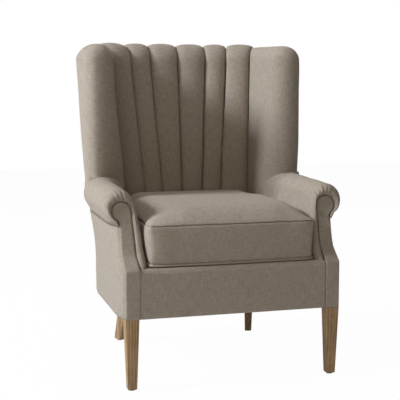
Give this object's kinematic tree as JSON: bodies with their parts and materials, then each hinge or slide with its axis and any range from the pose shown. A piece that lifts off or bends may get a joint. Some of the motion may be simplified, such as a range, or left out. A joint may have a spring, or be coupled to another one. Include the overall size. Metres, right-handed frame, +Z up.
{
  "type": "wingback chair",
  "caption": "Upholstered wingback lounge chair with a fan-shaped channelled back curving into padded wings, rolled scroll arms, a loose lift-off seat cushion and tapered wooden legs.",
  "frame": {"origin": "middle of the chair's footprint on the floor", "axes": "+Z up, the chair faces -Y, +X to the right of the picture's viewer"},
  "size_m": [0.784, 0.788, 1.0691],
  "materials": {
    "upholstery": "plain linen-like weave in warm taupe with a fine slub",
    "leg_wood": "weathered light brown oak, matt",
    "frame_wood": "sawn hardwood, unfinished",
    "spring_steel": "drawn spring wire and folded clips",
    "bolt_steel": "zinc-plated hanger bolts and nuts",
    "nylon": "moulded nylon glide",
    "cord": "paper-covered tie cord",
    "webbing": "woven jute webbing",
    "lining": "black nonwoven lining",
    "deck_fabric": "plain deck cloth over wadding",
    "wadding": "bonded polyester wadding",
    "foam": "open-cell upholstery foam",
    "zip": "nylon coil zip"
  },
  "bodies": {
    "chair": {"leg_front_left": "leg_wood", "leg_front_right": "leg_wood", "leg_rear_left": "leg_wood", "leg_rear_right": "leg_wood", "leg_bolts": "bolt_steel", "leg_glides": "nylon", "front_rail": "frame_wood", "side_rail_left": "frame_wood", "side_rail_right": "frame_wood", "back_rail": "frame_wood", "corner_blocks": "frame_wood", "arm_stump_left": "frame_wood", "arm_stump_right": "frame_wood", "arm_board_left": "frame_wood", "arm_board_right": "frame_wood", "wing_post_left": "frame_wood", "wing_post_right": "frame_wood", "wing_rail_left": "frame_wood", "wing_rail_right": "frame_wood", "back_post_left": "frame_wood", "back_post_right": "frame_wood", "lower_back_rail": "frame_wood", "crest_rail": "frame_wood", "seat_springs": "spring_steel", "spring_clips": "spring_steel", "spring_ties": "cord", "deck_cloth": "lining", "deck_pad": "deck_fabric", "back_webbing": "webbing", "back_pad": "wadding", "back_channel_1": "upholstery", "back_channel_2": "upholstery", "back_channel_3": "upholstery", "back_channel_4": "upholstery", "back_channel_5": "upholstery", "back_channel_6": "upholstery", "wing_pad_left": "upholstery", "wing_pad_right": "upholstery", "arm_pad_left": "upholstery", "arm_pad_right": "upholstery", "arm_facing_left": "upholstery", "arm_facing_right": "upholstery", "outside_arm_left": "upholstery", "outside_arm_right": "upholstery", "outside_wing_left": "upholstery", "outside_wing_right": "upholstery", "outside_back": "upholstery", "front_apron": "upholstery", "dust_cover": "lining"},
    "cushion": {"seat_cushion_cover": "upholstery", "seat_cushion_foam": "foam", "cushion_zip": "zip"}
  },
  "joints": [
    {"name": "seat_cushion_lift", "type": "slide", "parent": "chair", "child": "cushion", "axis": [0, 0, 1], "range_m": [0, 0.6]}
  ]
}
